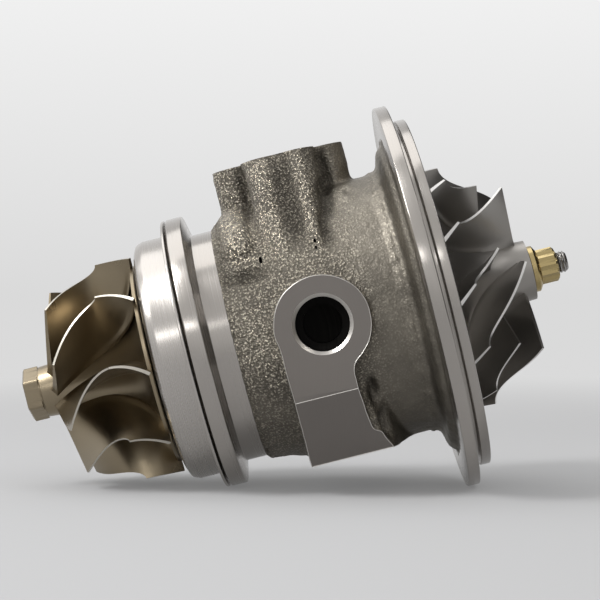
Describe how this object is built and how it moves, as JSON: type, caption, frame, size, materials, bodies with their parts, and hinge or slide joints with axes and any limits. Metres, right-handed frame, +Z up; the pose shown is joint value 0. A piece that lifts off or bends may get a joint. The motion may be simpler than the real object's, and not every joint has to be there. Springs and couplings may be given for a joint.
{
  "type": "turbo cartridge",
  "caption": "Turbocharger centre section: a cast bearing housing with a bladed turbine wheel and a bladed compressor wheel on one spinning shaft.",
  "frame": {"origin": "on the rotor axis, in the compressor-side face of the housing flange", "axes": "+X along the rotor axis towards the compressor end, +Z up through the oil inlet, -Y towards the viewer"},
  "size_m": [0.1287, 0.0898, 0.0898],
  "materials": {
    "cast_iron": "sand cast, machined faces turned bright",
    "sheet_steel": "pressed stainless sheet, satin",
    "turbine_alloy": "investment cast heat resisting alloy, bronze grey",
    "shaft_steel": "ground steel",
    "ring_steel": "spring steel",
    "bronze": "machined bronze",
    "screw_steel": "blackened steel",
    "aluminium": "satin cast aluminium",
    "nut_brass": "yellow plated",
    "rubber": "matt black",
    "cast_iron_plate": "machined"
  },
  "bodies": {
    "housing": {"center_housing": "cast_iron", "heat_shield": "sheet_steel", "turbine_seal_ring": "ring_steel", "retaining_ring_turbine_outer": "ring_steel", "retaining_ring_turbine_inner": "ring_steel", "retaining_ring_compressor": "ring_steel", "thrust_bearing": "bronze", "thrust_screw_1": "screw_steel", "thrust_screw_2": "screw_steel", "thrust_screw_3": "screw_steel", "oil_deflector": "sheet_steel", "compressor_seal_ring": "ring_steel", "seal_plate": "cast_iron_plate", "seal_plate_o_ring": "rubber", "seal_plate_snap_ring": "ring_steel"},
    "rotor": {"turbine_wheel": "turbine_alloy", "rotor_shaft": "shaft_steel", "thrust_ring": "shaft_steel", "thrust_sleeve": "shaft_steel", "compressor_wheel": "aluminium", "compressor_nut": "nut_brass"},
    "turbine_bearing": {"turbine_journal_bearing": "bronze"},
    "compressor_bearing": {"compressor_journal_bearing": "bronze"}
  },
  "joints": [
    {"name": "rotor_spin", "type": "hinge", "parent": "housing", "child": "rotor", "pos_m": [0, 0, 0], "axis": [1, 0, 0], "continuous": true},
    {"name": "turbine_bearing_spin", "type": "hinge", "parent": "housing", "child": "turbine_bearing", "pos_m": [-0.0482, 0, 0], "axis": [1, 0, 0], "continuous": true},
    {"name": "compressor_bearing_spin", "type": "hinge", "parent": "housing", "child": "compressor_bearing", "pos_m": [-0.0202, 0, 0], "axis": [1, 0, 0], "continuous": true}
  ],
  "couplings": [
    {"joint": "turbine_bearing_spin", "follows": "rotor_spin", "ratio": 0.3},
    {"joint": "compressor_bearing_spin", "follows": "rotor_spin", "ratio": 0.3}
  ]
}
